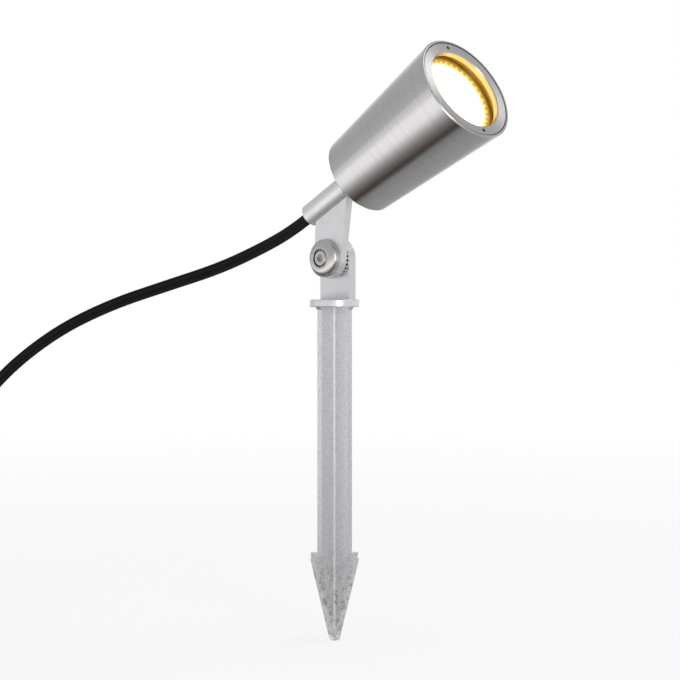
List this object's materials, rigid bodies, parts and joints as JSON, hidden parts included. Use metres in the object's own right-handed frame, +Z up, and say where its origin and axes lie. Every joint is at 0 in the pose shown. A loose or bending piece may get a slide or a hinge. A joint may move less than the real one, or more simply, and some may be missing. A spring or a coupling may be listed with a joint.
{
  "type": "garden spike spotlight",
  "caption": "Garden spotlight: conical aluminium lamp head on a tilting toothed knuckle above a cross-ribbed ground spike, with a flat low-voltage cord and a screw plug.",
  "frame": {"origin": "centre of the collar's underside, where the spike's axis meets the soil", "axes": "+Z up along the spike, +X the way the lamp head points, +Y along the knuckle's pivot from the clamp screw to the ear"},
  "size_m": [0.4871, 0.1461, 0.3204],
  "materials": {
    "cast_aluminium": "satin sand-cast skin with a clear coat",
    "turned_aluminium": "fine turned lines around the head, clear anodised",
    "bezel_aluminium": "satin turned face",
    "polished_steel": "polished stainless steel",
    "zinc_plated_steel": "zinc plated",
    "tinned_copper": "tinned contact metal",
    "black_rubber": "matt moulded rubber",
    "nylon": "natural nylon",
    "ceramic": "unglazed steatite",
    "clear_glass": "clear, polished",
    "lamp_lens": "frosted moulded lens",
    "led_white": "yellow phosphor over the chips",
    "lamp_body": "white moulding",
    "heat_sink": "die-cast, clear coat",
    "lens_retainer": "metallised moulding that takes up the lamp's warm light",
    "circuit_board": "green solder resist",
    "copper_winding": "enamelled winding",
    "black_pvc": "satin PVC sheath",
    "black_plug": "satin moulded plug",
    "nickel_plated_brass": "bright nickel plate",
    "lead_insulation": "silicone insulation"
  },
  "bodies": {
    "spike": {"ground_spike": "cast_aluminium", "cord_free": "black_pvc", "cord_coil": "black_pvc", "cord_tail": "black_pvc", "cord_tie": "black_plug", "plug_strain_relief": "black_plug", "plug_body": "black_plug", "plug_pins": "nickel_plated_brass", "plug_seal": "black_rubber"},
    "head": {"tail_bracket": "cast_aluminium", "head_shell": "turned_aluminium", "rear_cap": "turned_aluminium", "rear_cap_seal": "black_rubber", "stub_nut": "zinc_plated_steel", "stub_seal": "black_rubber", "cord_grommet": "black_rubber", "cord_inner": "black_pvc", "cord_clamp": "nylon", "crimp_sleeves": "tinned_copper", "lead_wires": "lead_insulation", "socket_bracket": "zinc_plated_steel", "bracket_screws": "zinc_plated_steel", "lamp_socket": "ceramic", "socket_contacts": "tinned_copper", "socket_screws": "zinc_plated_steel", "lamp_base": "lamp_body", "lamp_pins": "nickel_plated_brass", "lamp_driver_board": "circuit_board", "lamp_driver_coil": "copper_winding", "lamp_heat_sink": "heat_sink", "led_board": "circuit_board", "led_chips": "led_white", "lamp_lens": "lamp_lens", "lens_retainer": "lens_retainer", "seat_gasket": "black_rubber", "front_glass": "clear_glass", "glass_gasket": "black_rubber"},
    "knuckle_washer": {"dome_washer": "polished_steel"},
    "knuckle_screw": {"clamp_screw": "polished_steel"},
    "bezel_washer": {"slip_washer": "nylon"},
    "bezel": {"bezel_ring": "bezel_aluminium"},
    "plug_ring": {"plug_nut": "black_plug"}
  },
  "joints": [
    {"name": "head_tilt", "type": "hinge", "parent": "spike", "child": "head", "pos_m": [0, 0, 0.0266], "axis": [0, -1, 0], "range_deg": [-84, 60], "deforming": ["cord_free"]},
    {"name": "washer_lift", "type": "slide", "parent": "spike", "child": "knuckle_washer", "axis": [0, -1, 0], "range_m": [0, 0.0016]},
    {"name": "clamp_screw_turn", "type": "hinge", "parent": "knuckle_washer", "child": "knuckle_screw", "pos_m": [0, 0, 0.0266], "axis": [0, -1, 0], "range_deg": [0, 720]},
    {"name": "bezel_lift", "type": "slide", "parent": "head", "child": "bezel_washer", "axis": [0.878, 0, 0.4787], "range_m": [0, 0.004]},
    {"name": "bezel_turn", "type": "hinge", "parent": "bezel_washer", "child": "bezel", "pos_m": [0.09662, -0.00435, 0.11072], "axis": [0.878, 0, 0.4787], "range_deg": [0, 1440]},
    {"name": "plug_ring_turn", "type": "hinge", "parent": "spike", "child": "plug_ring", "pos_m": [-0.36426, -0.02322, -0.17315], "axis": [-0.0258, 0.9997, 0], "continuous": true}
  ],
  "couplings": [
    {"joint": "clamp_screw_turn", "follows": "washer_lift", "rad_per_m": 7854},
    {"joint": "bezel_turn", "follows": "bezel_lift", "rad_per_m": 6283.2}
  ]
}
